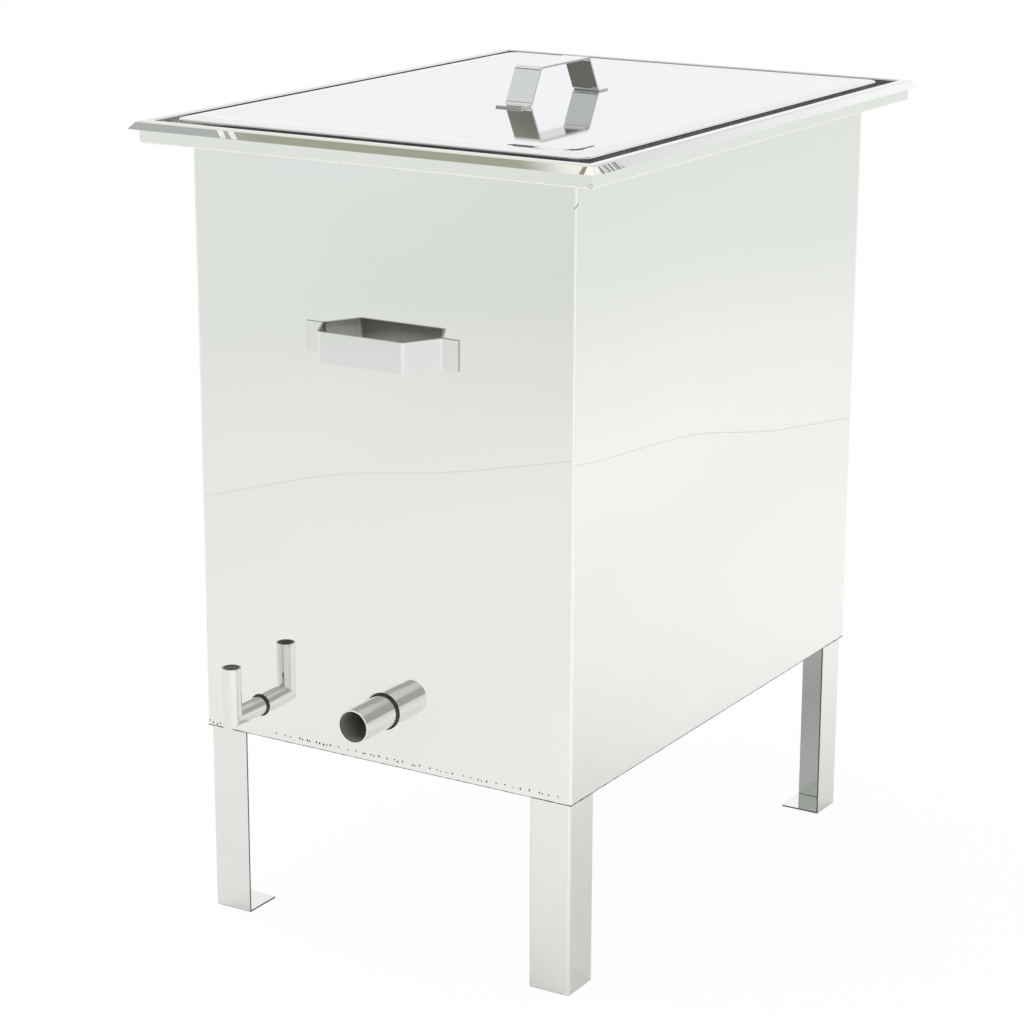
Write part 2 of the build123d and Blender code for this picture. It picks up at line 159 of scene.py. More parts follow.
# %% World
WHITE = (1.0, 1.0, 1.0)
SWEEP = (0.99, 1.0, 1.02)
CAMERA_SIDE = (0.50, 0.50, 0.49)
SWEEP_GLARE = (1.07, 1.08, 1.08)
SWEEP_DUSK = (0.79, 0.805, 0.81)
UPPER_SWEEP = (0.78, 0.80, 0.80)
GREY_WALL = (0.48, 0.495, 0.49)
OLIVE_WALL = (0.41, 0.405, 0.335)
CORNICE = (0.19, 0.185, 0.16)
CEILING = (0.62, 0.63, 0.62)
WINDOW = (1.00, 0.99, 0.94)
SKYLIGHT = (0.92, 0.90, 0.83)
DOORWAY = (0.20, 0.20, 0.18)
PLAIN_LIGHT = 1.0
# Heights and bearings are the Z and Y of a direction one unit long.
FAR_SWEEP = [(0.00, SWEEP), (0.34, SWEEP), (0.37, SWEEP_GLARE), (0.46, SWEEP_DUSK), (0.58, SWEEP_DUSK)]
NEAR_SIDE = [(0.06, SWEEP), (0.16, CAMERA_SIDE), (0.52, CAMERA_SIDE), (0.62, UPPER_SWEEP)]
UPPER_ROOM = [
    (0.66, UPPER_SWEEP), (0.735, GREY_WALL), (0.760, GREY_WALL), (0.766, OLIVE_WALL), (0.818, OLIVE_WALL),
    (0.834, CORNICE), (0.875, CORNICE), (0.91, CEILING), (1.00, CEILING),
]
NEAR_SIDE_FROM, NEAR_SIDE_FULL = -0.05, -0.35
# Each opening has a colour, then low, high and blur of its heights, and the same of its bearings.
OPENINGS = [
    (WINDOW, (0.821, 0.860, 0.007), (-0.310, -0.225, 0.010)),
    (SKYLIGHT, (0.680, 0.960, 0.020), (-0.225, 0.600, 0.012)),
    (DOORWAY, (0.735, 0.825, 0.010), (-0.440, -0.340, 0.012)),
    (DOORWAY, (0.664, 0.712, 0.008), (-0.545, -0.485, 0.008)),
]


def band(tree, value, low, high, blur):
    """1 while a value is between low and high, fading to 0 over a blur on both sides."""
    rise = add_node(tree, "ShaderNodeMapRange", Value=value, From_Min=low - blur, From_Max=low).outputs[0]
    fall = add_node(tree, "ShaderNodeMapRange", Value=value, From_Min=high + blur, From_Max=high).outputs[0]
    return scalar(tree, "MULTIPLY", rise, fall)


world = bpy.data.worlds.new("white_studio")
world.use_nodes = True
bpy.context.scene.world = world
tree = world.node_tree
direction = tree.nodes.new("ShaderNodeTexCoord").outputs["Generated"]
parts = add_node(tree, "ShaderNodeSeparateXYZ", Vector=direction).outputs
behind = colour_ramp(tree, parts["Z"], FAR_SWEEP + UPPER_ROOM)
before = colour_ramp(tree, parts["Z"], NEAR_SIDE + UPPER_ROOM)
near_side = add_node(
    tree, "ShaderNodeMapRange", Value=parts["Y"], From_Min=NEAR_SIDE_FROM, From_Max=NEAR_SIDE_FULL
).outputs[0]
room = colour_mix(tree, near_side, behind, before)
leftward = scalar(tree, "LESS_THAN", parts["X"], 0.0)
for colour, heights, bearings in OPENINGS:
    opening = scalar(tree, "MULTIPLY", band(tree, parts["Z"], *heights), band(tree, parts["Y"], *bearings))
    room = colour_mix(tree, scalar(tree, "MULTIPLY", opening, leftward), room, (*colour, 1))
path = tree.nodes.new("ShaderNodeLightPath")
mirrored = scalar(tree, "MAXIMUM", path.outputs["Is Glossy Ray"], path.outputs["Is Transmission Ray"])
seen = colour_mix(tree, mirrored, (PLAIN_LIGHT, PLAIN_LIGHT, PLAIN_LIGHT, 1), room)
backdrop = colour_mix(tree, path.outputs["Is Camera Ray"], seen, (*WHITE, 1))
background = tree.nodes["Background"]
tree.links.new(backdrop, background.inputs["Color"])
background.inputs["Strength"].default_value = 1
print("world", world.name)

# %% Enough bounces for a gutter of mirrors
MIRROR_BOUNCES = 20
OTHER_BOUNCES = 4
bpy.context.scene.cycles.glossy_bounces = MIRROR_BOUNCES
bpy.context.scene.cycles.max_bounces = MIRROR_BOUNCES + OTHER_BOUNCES
print("a ray may bounce", MIRROR_BOUNCES, "times between mirrors")

# %% [markdown]
# ## Floor
# The object stands on a large sheet of white paper, laid at an angle. Where the paper ends, the polished
# walls show a faint wavy line: it is the one clear reflection on them. To the camera the whole floor is
# white with a light shadow, so for the camera it mixes a little shaded white into a steady glow. The
# steel sees the paper, its edge and the full shadow.

# %% Floor
FLOOR_WIDTH = 40.0
FLOOR_CELLS = 8
PAPER_SIDES = ((218.4, 1.764), (24.5, 1.577), (310.4, 4.5), (114.5, 3.5))  # bearing in degrees, reach in m
PAPER = (0.916, 0.920, 0.905)
SURROUND = [(0.0, (0.917, 0.922, 0.908)), (0.3, (0.845, 0.865, 0.835)), (1.0, (0.88, 0.90, 0.88))]
SURROUND_REACH = 4.0
# The dark line along the paper's edge is a painted shadow: the thin shadow of the paper's edge.
EDGE_LINE = 0.0009
EDGE_SHADE = (0.44, 0.45, 0.43)
# Painted light on the floor, seen by the steel: brighter towards the right and dimmer at the front left.
FLOOR_PAINTED_LIGHT = [  # place along X, and how bright the floor is there
    (-2.6, 0.950), (-2.2, 0.925), (-1.5, 0.870), (-0.95, 0.852), (-0.6, 0.882), (-0.35, 0.882),
    (0.0, 0.950), (0.5, 1.045), (0.8, 1.015), (1.1, 1.045), (1.6, 1.020), (2.4, 0.990),
]
LEVEL_REACH = 2.6
SHADOW_FOR_CAMERA = 0.05
SHADOW_FOR_STEEL = 1.0

floor_mesh = bpy.data.meshes.new("floor")
floor_form = bmesh.new()
bmesh.ops.create_grid(floor_form, x_segments=FLOOR_CELLS, y_segments=FLOOR_CELLS, size=FLOOR_WIDTH / 2)
floor_form.to_mesh(floor_mesh)
floor_form.free()
floor = bpy.data.objects.new("floor", floor_mesh)
bpy.context.scene.collection.objects.link(floor)
floor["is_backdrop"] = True

paper = bpy.data.materials.new("white_paper")
paper.use_nodes = True
tree = paper.node_tree
tree.nodes.clear()
place = tree.nodes.new("ShaderNodeNewGeometry").outputs["Position"]
outside = -FLOOR_WIDTH
for bearing, reach in PAPER_SIDES:
    outward = (math.cos(math.radians(bearing)), math.sin(math.radians(bearing)), 0)
    along = add_node(tree, "ShaderNodeVectorMath", {"operation": "DOT_PRODUCT"}, i0=place, i1=outward)
    outside = scalar(tree, "MAXIMUM", scalar(tree, "SUBTRACT", along.outputs["Value"], reach), outside)
surround = colour_ramp(tree, scalar(tree, "DIVIDE", outside, SURROUND_REACH), SURROUND)
laid = colour_mix(tree, scalar(tree, "GREATER_THAN", outside, 0.0), (*PAPER, 1), surround)
at_edge = scalar(tree, "LESS_THAN", scalar(tree, "ABSOLUTE", outside), EDGE_LINE)
laid = colour_mix(tree, at_edge, laid, (*EDGE_SHADE, 1))
sideways = add_node(tree, "ShaderNodeSeparateXYZ", Vector=place).outputs["X"]
across = add_node(
    tree, "ShaderNodeMapRange", Value=sideways, From_Min=-LEVEL_REACH, From_Max=LEVEL_REACH
).outputs[0]
level_stops = [((x + LEVEL_REACH) / (2 * LEVEL_REACH), (value,) * 3) for x, value in FLOOR_PAINTED_LIGHT]
level = colour_ramp(tree, across, level_stops)
lit = add_node(tree, "ShaderNodeVectorMath", {"operation": "SCALE"}, Vector=laid, Scale=level).outputs[0]
path = tree.nodes.new("ShaderNodeLightPath")
to_camera = path.outputs["Is Camera Ray"]
shown = colour_mix(tree, to_camera, lit, (*WHITE, 1))
shadow = add_node(
    tree, "ShaderNodeMapRange", Value=to_camera, To_Min=SHADOW_FOR_STEEL, To_Max=SHADOW_FOR_CAMERA
).outputs[0]
shaded = add_node(tree, "ShaderNodeBsdfDiffuse", Color=shown).outputs[0]
glow = add_node(tree, "ShaderNodeEmission", Color=shown, Strength=1.0).outputs[0]
blend = add_node(tree, "ShaderNodeMixShader", Fac=shadow, i1=glow, i2=shaded).outputs[0]
add_node(tree, "ShaderNodeOutputMaterial", Surface=blend)
floor_mesh.materials.append(paper)
print("floor", FLOOR_WIDTH, "m wide")

# %% [markdown]
# ## Lamp
# One broad lamp high on the left gives the floor a soft shadow. The steel hardly notices it, because
# the room around it is already bright.

# %% Lamp
LAMP_WIDTH = 2.4
LAMP_PLACE = (-1.6, -0.6, 3.2)
LAMP_AIM = (0, 0, 0.4)
LAMP_WATTS = 30

softbox = bpy.data.lights.new("softbox", "AREA")
softbox.size = LAMP_WIDTH
softbox.energy = LAMP_WATTS
lamp = bpy.data.objects.new("softbox", softbox)
lamp.location = LAMP_PLACE
lamp.rotation_euler = (Vector(LAMP_AIM) - lamp.location).to_track_quat("-Z", "Y").to_euler()
lamp.visible_glossy = False
bpy.context.scene.collection.objects.link(lamp)
print("lamp", LAMP_WATTS, "W")

# %% [markdown]
# ## Polished stainless
# Stainless sheet leaves the mill with a faint grain along its length, and polishing leaves a cloudy haze
# over that. One function makes each finish from a tint, how rough the polish is, and how deep its grain
# is. A plain metal shader would do for a toy; the haze in its roughness is what makes it a sheet.

# %% Steel finishes
HAZE_SCALE = 7.0
HAZE_LOW, HAZE_HIGH = 0.3, 0.7
HAZE_SHADE = 0.97
GRAIN_LONG = 3.0
GRAIN_FINE = 1400.0


def steel(name, tint, polish, haze, grain, grain_axis):
    """A stainless finish: tint, roughness, share of haze in it, and depth of its grain in metres."""
    material = bpy.data.materials.new(name)
    material.use_nodes = True
    tree = material.node_tree
    shader = tree.nodes["Principled BSDF"]
    shader.inputs["Metallic"].default_value = 1
    place = tree.nodes.new("ShaderNodeTexCoord").outputs["Object"]
    cloud = add_node(tree, "ShaderNodeTexNoise", Vector=place, Scale=HAZE_SCALE, Detail=4.0).outputs["Fac"]
    darker = tuple(HAZE_SHADE * part for part in tint)
    tinted = colour_mix(tree, cloud, (*tint, 1), (*darker, 1))
    tree.links.new(tinted, shader.inputs["Base Color"])
    rough = add_node(
        tree, "ShaderNodeMapRange", Value=cloud, From_Min=HAZE_LOW, From_Max=HAZE_HIGH,
        To_Min=polish * (1 - haze), To_Max=polish * (1 + haze),
    )
    tree.links.new(rough.outputs[0], shader.inputs["Roughness"])
    stretch = [GRAIN_FINE] * 3
    stretch["XYZ".index(grain_axis)] = GRAIN_LONG
    lines = add_node(tree, "ShaderNodeMapping", Vector=place, Scale=stretch).outputs[0]
    hairs = add_node(tree, "ShaderNodeTexNoise", Vector=lines, Scale=1.0, Detail=2.0).outputs["Fac"]
    relief = add_node(tree, "ShaderNodeBump", Height=hairs, Distance=grain, Strength=1.0).outputs[0]
    tree.links.new(relief, shader.inputs["Normal"])
    return material


# name, tint, roughness, share of haze, depth of grain, axis of grain
MIRROR = steel("mirror_sheet", (0.86, 0.87, 0.855), 0.018, 0.4, 1e-7, "Z")
RIM = steel("rim_sheet", (0.88, 0.89, 0.87), 0.035, 0.4, 1e-7, "X")
LID = steel("lid_sheet", (0.805, 0.81, 0.81), 0.03, 0.4, 1e-7, "Y")
LEG = steel("leg_sheet", (0.84, 0.85, 0.83), 0.05, 0.4, 2e-7, "Z")
STRAP = steel("strap", (0.81, 0.82, 0.81), 0.05, 0.4, 2e-7, "X")
TUBE = steel("tube", (0.82, 0.82, 0.80), 0.07, 0.4, 3e-7, "Y")
INNER = steel("inner_sheet", (0.70, 0.71, 0.70), 0.28, 0.3, 2e-6, "Y")
SHEARED = steel("sheared_edge", (0.48, 0.48, 0.47), 0.32, 0.3, 2e-6, "Z")
# Near-black on the legs' sheared faces and rounded edges: painted shade, for the dark lines along their
# edges and feet.
SHADED_LEG_EDGE = steel("leg_edge_painted_shade", (0.13, 0.13, 0.13), 0.30, 0.3, 2e-6, "Z")
# Rougher, and darker with painted shade: the back of a carry handle.
SHADED_BACK = steel("back_painted_shade", (0.38, 0.38, 0.36), 0.22, 0.3, 1e-6, "X")
# Rougher, and darker with painted shade: the inside of a leg, under the tank.
LEG_INSIDE_SHADE = steel("leg_inside_painted_shade", (0.67, 0.69, 0.68), 0.16, 0.4, 2e-6, "Z")
BRIGHT_SEAM = steel("bright_seam", (0.97, 0.97, 0.96), 0.06, 0.4, 2e-7, "Z")
HEAT_TINT = steel("heat_tint", (0.50, 0.44, 0.36), 0.22, 0.3, 2e-6, "Z")
print("finishes", len(bpy.data.materials))

# %% [markdown]
# ## Finishes that are not bare metal
# Some steel here is no longer bright. Water and wax leave a dull film in the tubes. The gutter's dark grey
# is painted shade for the narrow gap round the lid, and it is paler towards its front left corner with
# painted light. Heat turns a weld nearly black, with straw and blue in it; round the tubes that near-black
# is painted shade for the gap there. A grinding wheel leaves a matt white or dark strokes, and the same
# matt white along the skirt's foot is a painted highlight. Two pale patches on the front hem are painted
# glints. Each is a colour read from noise; they differ in how the noise is stretched and in how metallic
# they are.

# %% Stained, burnt and streaked finishes, with painted shade and highlights
BLOTCH_SCALE = 90.0
PALE_CORNER = (-0.228, -0.265, 0.755)
PALE_REACH = 0.075
PALE_LIFT = 0.5
HEAT_SCALE = 260.0
STROKE_SCALE = 300.0
STROKE_SLANT = 1.3


def mottled(name, metal, rough, stops, noise):
    """A finish whose colour is read along stops from a noise, made by noise(tree, coordinates)."""
    material = bpy.data.materials.new(name)
    material.use_nodes = True
    tree = material.node_tree
    shader = tree.nodes["Principled BSDF"]
    shader.inputs["Metallic"].default_value = metal
    shader.inputs["Roughness"].default_value = rough
    place = tree.nodes.new("ShaderNodeTexCoord").outputs["Object"]
    tree.links.new(colour_ramp(tree, noise(tree, place), stops), shader.inputs["Base Color"])
    return material


def blotches(tree, place):
    """Soft blotches about a centimetre wide."""
    return add_node(tree, "ShaderNodeTexNoise", Vector=place, Scale=BLOTCH_SCALE, Detail=3.0).outputs["Fac"]


def pale_towards_corner(tree, place):
    """Blotches that grow pale towards the front left corner of the gutter: painted light, lighter on that
    side.
    """
    far = add_node(
        tree, "ShaderNodeVectorMath", {"operation": "DISTANCE"}, i0=place, i1=PALE_CORNER
    ).outputs["Value"]
    near = add_node(
        tree, "ShaderNodeMapRange", Value=far, From_Min=PALE_REACH, From_Max=PALE_REACH / 2
    ).outputs[0]
    return scalar(tree, "ADD", blotches(tree, place), scalar(tree, "MULTIPLY", near, PALE_LIFT))


def heat(tree, place):
    """Fine specks for a weld's colours."""
    return add_node(tree, "ShaderNodeTexNoise", Vector=place, Scale=HEAT_SCALE, Detail=3.0).outputs["Fac"]


def strokes(tree, place):
    """Strokes that slant across a hem: noise along x + y and a little z."""
    ways = add_node(tree, "ShaderNodeSeparateXYZ", Vector=place).outputs
    level = scalar(tree, "ADD", ways["X"], ways["Y"])
    run = scalar(tree, "ADD", level, scalar(tree, "MULTIPLY", ways["Z"], STROKE_SLANT))
    noise = add_node(
        tree, "ShaderNodeTexNoise", {"noise_dimensions": "1D"}, W=run, Scale=STROKE_SCALE, Detail=2.0
    )
    return noise.outputs["Fac"]


# name, share of metal, roughness, colour stops, noise
# The gutter's dark grey is painted shade for the narrow gap round the lid; towards the front left corner it
# is paler with painted light.
GUTTER_SHADE = mottled("gutter_painted_shade", 0.3, 0.4, [
    (0.35, (0.27, 0.27, 0.26)), (0.65, (0.36, 0.36, 0.35)), (0.95, (0.84, 0.84, 0.82)),
], pale_towards_corner)
WAXED = mottled("waxed_bore", 0.35, 0.45, [
    (0.35, (0.30, 0.30, 0.26)), (0.65, (0.40, 0.40, 0.35)),
], blotches)
# On the rings round the tubes this near-black is painted shade for the shadowed gap there; on the other
# seams and the spot welds it is heat colour.
BURNT_AND_SHADED = mottled("burnt_weld_and_painted_shade", 0.7, 0.5, [
    (0.30, (0.030, 0.028, 0.026)), (0.50, (0.080, 0.062, 0.045)), (0.65, (0.055, 0.060, 0.085)),
], heat)
# Along the skirt's foot this matt white is a painted highlight, for the bright line its rounded edge
# catches.
GROUND_AND_HIGHLIGHT = mottled("ground_weld_and_painted_highlight", 0.2, 0.5, [
    (0.35, (0.86, 0.86, 0.84)), (0.65, (0.96, 0.96, 0.94)),
], heat)
# Painted highlights: these pale patches stand in for glints on the hem.
PAINTED_GLINT = mottled("painted_glint", 0.2, 0.5, [
    (0.35, (0.74, 0.75, 0.69)), (0.65, (0.82, 0.83, 0.77)),
], heat)
STREAKED = mottled("streaked_hem", 1.0, 0.25, [
    (0.36, (0.24, 0.24, 0.22)), (0.46, (0.50, 0.50, 0.47)), (0.60, (0.86, 0.86, 0.82)),
], strokes)
print("finishes", len(bpy.data.materials))

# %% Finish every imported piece
FINISHES = {
    "wall": MIRROR, "rim": RIM, "gutter": GUTTER_SHADE, "leg": LEG, "lid_pan": LID, "handle": STRAP,
    "pipe": TUBE, "riser": TUBE,
}
for name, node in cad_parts.items():
    finish = next((FINISHES[word] for word in FINISHES if name.endswith(word)), INNER)
    node.material_slots[0].material = finish
print("finished", len(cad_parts), "packed pieces")

# %% [markdown]
# ## Sheets that are not quite flat
# A polished wall would be a perfect mirror if it were flat. Real sheet swells by a few tenths of a
# millimetre between its welded edges, and the reflected line bends there. Each sheet is copied, cut on
# a grid so that it has points to move, and pushed along its normal by a smooth swell that dies out at
# the edges. Bump mapping could fake the line, but a real swell is right from every side. The lid also
# has a low crest beside its folded border, which mirrors the handle's legs a second time.

# %% Rippled sheet helper
SHEET_CELL = 0.010
FADE = 0.045
SHARP_ANGLE = math.radians(35)
WELD_DISTANCE = 1e-6


def smooth_step(value):
    """0 below 0, 1 above 1, and an S curve between."""
    value = min(max(value, 0.0), 1.0)
    return value * value * (3 - 2 * value)


def add_piece(name, form, material, body):
    """Turns a bmesh into a smooth-shaded piece that rides on a body."""
    for edge in form.edges:
        edge.smooth = edge.calc_face_angle(math.pi) < SHARP_ANGLE
    for face in form.faces:
        face.smooth = True
    mesh = bpy.data.meshes.new(name)
    form.to_mesh(mesh)
    form.free()
    if "custom_normal" in mesh.attributes:
        mesh.attributes.remove(mesh.attributes["custom_normal"])
    mesh.materials.clear()
    mesh.materials.append(material)
    piece = bpy.data.objects.new(name, mesh)
    bpy.context.scene.collection.objects.link(piece)
    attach(piece, body)
    return piece


def rippled_sheet(node, facing, swell, material, body, border_cuts=(), border_rise=None):
    """A copy of a flat sheet, cut on a grid and pushed along its facing axis by swell(a, b).

    A sheet with a worked border is also cut along that border and pushed by border_rise(gap_a, gap_b).
    """
    low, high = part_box(node)
    across = [axis for axis in range(3) if axis != facing]
    form = bmesh.new()
    form.from_mesh(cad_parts[node].data)
    bmesh.ops.remove_doubles(form, verts=form.verts, dist=WELD_DISTANCE)
    for axis in across:
        normal = Vector((0, 0, 0))
        normal[axis] = 1
        count = round((high[axis] - low[axis]) / SHEET_CELL)
        places = [low[axis] + (high[axis] - low[axis]) * step / count for step in range(1, count)]
        for gap in border_cuts:
            places += [low[axis] + gap, high[axis] - gap]
        for place in places:
            cut = low.copy()
            cut[axis] = place
            everything = form.verts[:] + form.edges[:] + form.faces[:]
            bmesh.ops.bisect_plane(form, geom=everything, plane_co=cut, plane_no=normal, dist=WELD_DISTANCE)
    for vertex in form.verts:
        gaps = [min(vertex.co[axis] - low[axis], high[axis] - vertex.co[axis]) for axis in across]
        fade = smooth_step(gaps[0] / FADE) * smooth_step(gaps[1] / FADE)
        push = fade * swell(*(vertex.co[axis] for axis in across))
        if border_rise:
            push += border_rise(*gaps)
        vertex.co[facing] += push
    piece = add_piece(node + "_sheet", form, material, body)
    piece.modifiers.new("weighted", "WEIGHTED_NORMAL").keep_sharp = True
    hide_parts(node)
    return piece


print("rippled sheet helper ready")

# %% Four walls
LINE_HEIGHT = 0.46
SWELL_LENGTH = 0.90
END_SWELL = 0.0007
END_SWELL_PLACE = -0.055
END_SWELL_REACH = 0.15
SIDE_SWELL = 0.0012
SIDE_SWELL_PLACE = -0.07
SIDE_SWELL_REACH = 0.21
WELD_DRAW = 0.0005
DRAW_REACH = 0.030
TUBE_BOXES = [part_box(node) for node in ("wax_outlet_pipe", "filler_pipe")]


def drawn_in(x, z):
    """How far the welds round the two tubes have drawn the front wall in."""
    depth = 0.0
    for low, high in TUBE_BOXES:
        gap = math.hypot(x - (low.x + high.x) / 2, z - (low.z + high.z) / 2) - (high.x - low.x) / 2
        depth += WELD_DRAW * min(max(1 - gap / DRAW_REACH, 0.0), 1.0) ** 2
    return depth


def upright_wave(z):
    """The part of a wall's swell that goes up the wall, level with the line in its reflection."""
    return math.sin(2 * math.pi * (z - LINE_HEIGHT) / SWELL_LENGTH)


def end_swell(x, z):
    """A front or rear wall bulges once, towards its left."""
    bulge = smooth_step(1 - abs(x - END_SWELL_PLACE) / END_SWELL_REACH)
    return END_SWELL * bulge * upright_wave(z)


def side_swell(y, z):
    """A side wall has one tight bulge towards the front and a slack one behind it."""
    bulge = smooth_step(1 - abs(y - SIDE_SWELL_PLACE) / SIDE_SWELL_REACH)
    return SIDE_SWELL * bulge * upright_wave(z)


def front_swell(x, z):
    """The front wall bulges outwards, which is -Y, and its welds draw it in."""
    return drawn_in(x, z) - end_swell(x, z)


rippled_sheet("front_wall", 1, front_swell, MIRROR, "tank")
rippled_sheet("rear_wall", 1, end_swell, MIRROR, "tank")
rippled_sheet("right_wall", 0, side_swell, MIRROR, "tank")
rippled_sheet("left_wall", 0, lambda y, z: -side_swell(y, z), MIRROR, "tank")

# %% Lid sheet
LID_SWELL = 0.0003
LID_WAVE_X, LID_PHASE_X = 2.2 * math.pi, 0.4
LID_WAVE_Y, LID_PHASE_Y = 1.7 * math.pi, 1.1
CREST_RISE = 0.0009
CREST_FOOT = 0.033
CREST_TOP = 0.012
CREST_CORNER = 0.040
CREST_CUTS = [0.0015 * step for step in range(1, 25)]


def lid_swell(x, y):
    """The lid rises a little in the middle, unevenly."""
    return LID_SWELL * math.cos(LID_WAVE_X * x + LID_PHASE_X) * math.sin(LID_WAVE_Y * y + LID_PHASE_Y)


def border_crest(gap_x, gap_y):
    """A low crest all round the lid, where the press lifted the sheet beside its folded border."""
    gap = min(gap_x, gap_y)
    if max(gap_x, gap_y) < CREST_CORNER:
        gap = max(CREST_CORNER - math.hypot(CREST_CORNER - gap_x, CREST_CORNER - gap_y), 0.0)
    if gap < CREST_TOP:
        return CREST_RISE * smooth_step(gap / CREST_TOP)
    return CREST_RISE * smooth_step((CREST_FOOT - gap) / (CREST_FOOT - CREST_TOP))


rippled_sheet("lid_pan", 2, lid_swell, LID, "lid", CREST_CUTS, border_crest)

# %% [markdown]
# ## Welds
# The tubes are welded round where they pass through the wall, and the weld is a ring of small ripples. Its
# near-black colour is painted shade, standing in for the shadowed gap round each tube. A torus would be too
# regular. A small rounded section is turned round the tube's axis instead, and its size is made to swell
# and shrink as it goes, once for each puddle of the weld.

# %% Weld rings round the tubes
OUTLET_RADIUS = 0.016
FILLER_RADIUS = 0.009
RING_LEG = 0.0023
RING_SINK = 0.0006
RING_STEPS = 240
SECTION_STEPS = 6
PUDDLE_LENGTH = 0.0035
PUDDLE_SWELL = 0.035
RING_FLAT = 0.08


def weld_ring(name, node, radius):
    """A rippled bead round a tube that comes out of the front wall along -Y."""
    low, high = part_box(node)
    x, z = (low.x + high.x) / 2, (low.z + high.z) / 2
    wall_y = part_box("front_wall")[0].y
    puddles = round(2 * math.pi * radius / PUDDLE_LENGTH)
    form = bmesh.new()
    loops = []
    for step in range(RING_STEPS):
        angle = 2 * math.pi * step / RING_STEPS
        leg = RING_LEG * (1 + PUDDLE_SWELL * math.sin(puddles * angle))
        section = [(radius - RING_SINK, wall_y + RING_SINK)]
        for bit in range(SECTION_STEPS + 1):
            turn = math.pi / 2 * bit / SECTION_STEPS
            bulge = leg * (1 - RING_FLAT + RING_FLAT * abs(math.cos(2 * turn)))
            out = radius - RING_SINK + bulge * math.cos(turn)
            section.append((out, wall_y + RING_SINK - bulge * math.sin(turn)))
        loops.append([
            form.verts.new((x + out * math.cos(angle), y, z + out * math.sin(angle))) for out, y in section
        ])
    for first, second in zip(loops, loops[1:] + loops[:1]):
        for bit in range(len(first)):
            after = (bit + 1) % len(first)
            form.faces.new((first[bit], first[after], second[after], second[bit]))
    bmesh.ops.recalc_face_normals(form, faces=form.faces)
    # The ring's near-black is painted shade for the shadowed gap round the tube.
    return add_piece(name, form, BURNT_AND_SHADED, "tank")


weld_ring("wax_outlet_weld", "wax_outlet_pipe", OUTLET_RADIUS)
weld_ring("filler_weld", "filler_pipe", FILLER_RADIUS)
print("weld rings", RING_STEPS, "steps round")

# %% Bead and dome helpers
BEAD_SIDES = 8
BEAD_STEP = 0.0025


def bead(form, start, end, radius, shake, draws):
    """Adds a thin bead of uneven thickness from start to end."""
    start, end = Vector(start), Vector(end)
    along = (end - start).normalized()
    side = along.orthogonal().normalized()
    across = along.cross(side)
    count = max(2, round((end - start).length / BEAD_STEP))
    rings = []
    for step in range(count + 1):
        size = radius * (1 + shake * draws.uniform(-1, 1))
        centre = start.lerp(end, step / count)
        rings.append([
            form.verts.new(centre + size * (side * math.cos(turn) + across * math.sin(turn)))
            for turn in (2 * math.pi * bit / BEAD_SIDES for bit in range(BEAD_SIDES))
        ])
    for first, second in zip(rings, rings[1:]):
        for bit in range(BEAD_SIDES):
            after = (bit + 1) % BEAD_SIDES
            form.faces.new((first[bit], first[after], second[after], second[bit]))
    form.faces.new(rings[0][::-1])
    form.faces.new(rings[-1])


def dome(form, centre, sizes, turn=0.0):
    """Adds a small rounded lump, turned about Y."""
    shape = Matrix.Translation(centre) @ Matrix.Rotation(turn, 4, "Y") @ Matrix.Diagonal((*sizes, 1))
    bmesh.ops.create_icosphere(form, subdivisions=2, radius=1.0, matrix=shape)


print("bead and dome helpers ready")

# %% Seams along the foot of the walls
FOOT_SEAM, FOOT_SHAKE = 0.00028, 0.35
LEG_SEAM, LEG_SHAKE = 0.0004, 0.4
LEG_FLANGE = 0.041
SEAM_RISE = 0.0003
SEAM_SEED = 11

wall_low, wall_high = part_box("front_wall")[0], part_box("rear_wall")[1]
foot_z = wall_low.z + SEAM_RISE
draws = random.Random(SEAM_SEED)
form = bmesh.new()
corners = [
    Vector((wall_low.x, wall_low.y, foot_z)), Vector((wall_high.x, wall_low.y, foot_z)),
    Vector((wall_high.x, wall_high.y, foot_z)), Vector((wall_low.x, wall_high.y, foot_z)),
]
for first, second in zip(corners, corners[1:] + corners[:1]):
    bead(form, first, second, FOOT_SEAM, FOOT_SHAKE, draws)
    for corner, other in ((first, second), (second, first)):
        flange_end = corner + (other - corner).normalized() * LEG_FLANGE
        bead(form, corner, flange_end, LEG_SEAM, LEG_SHAKE, draws)
bmesh.ops.recalc_face_normals(form, faces=form.faces)
add_piece("foot_seams", form, BURNT_AND_SHADED, "tank")
print("foot seams along", len(corners), "walls")

# %% Spot welds that hold the floor pan
SPOT_FIRST = -0.121
SPOT_LAST = 0.187
SPOT_STEP = 0.009
SPOT_HEIGHT = 0.0062
SPOT_RADIUS = 0.0008
SPOT_PROUD = 0.00025
SPOT_STRAY, SPOT_DRIFT = 0.0015, 0.0006
TWIN_CHANCE = 0.2
TWIN_GAP, TWIN_DROP = (0.002, 0.004), (0.0, 0.001)
CORNER_SPOTS = [(-0.1985, 0.0046), (-0.1945, 0.0030), (-0.1900, 0.0022), (-0.1862, 0.0038)]
SPOT_WIDE, SPOT_TALL = (0.6, 1.1), (0.8, 1.7)
SPOT_TURN = 0.5
SPOT_SEED = 5

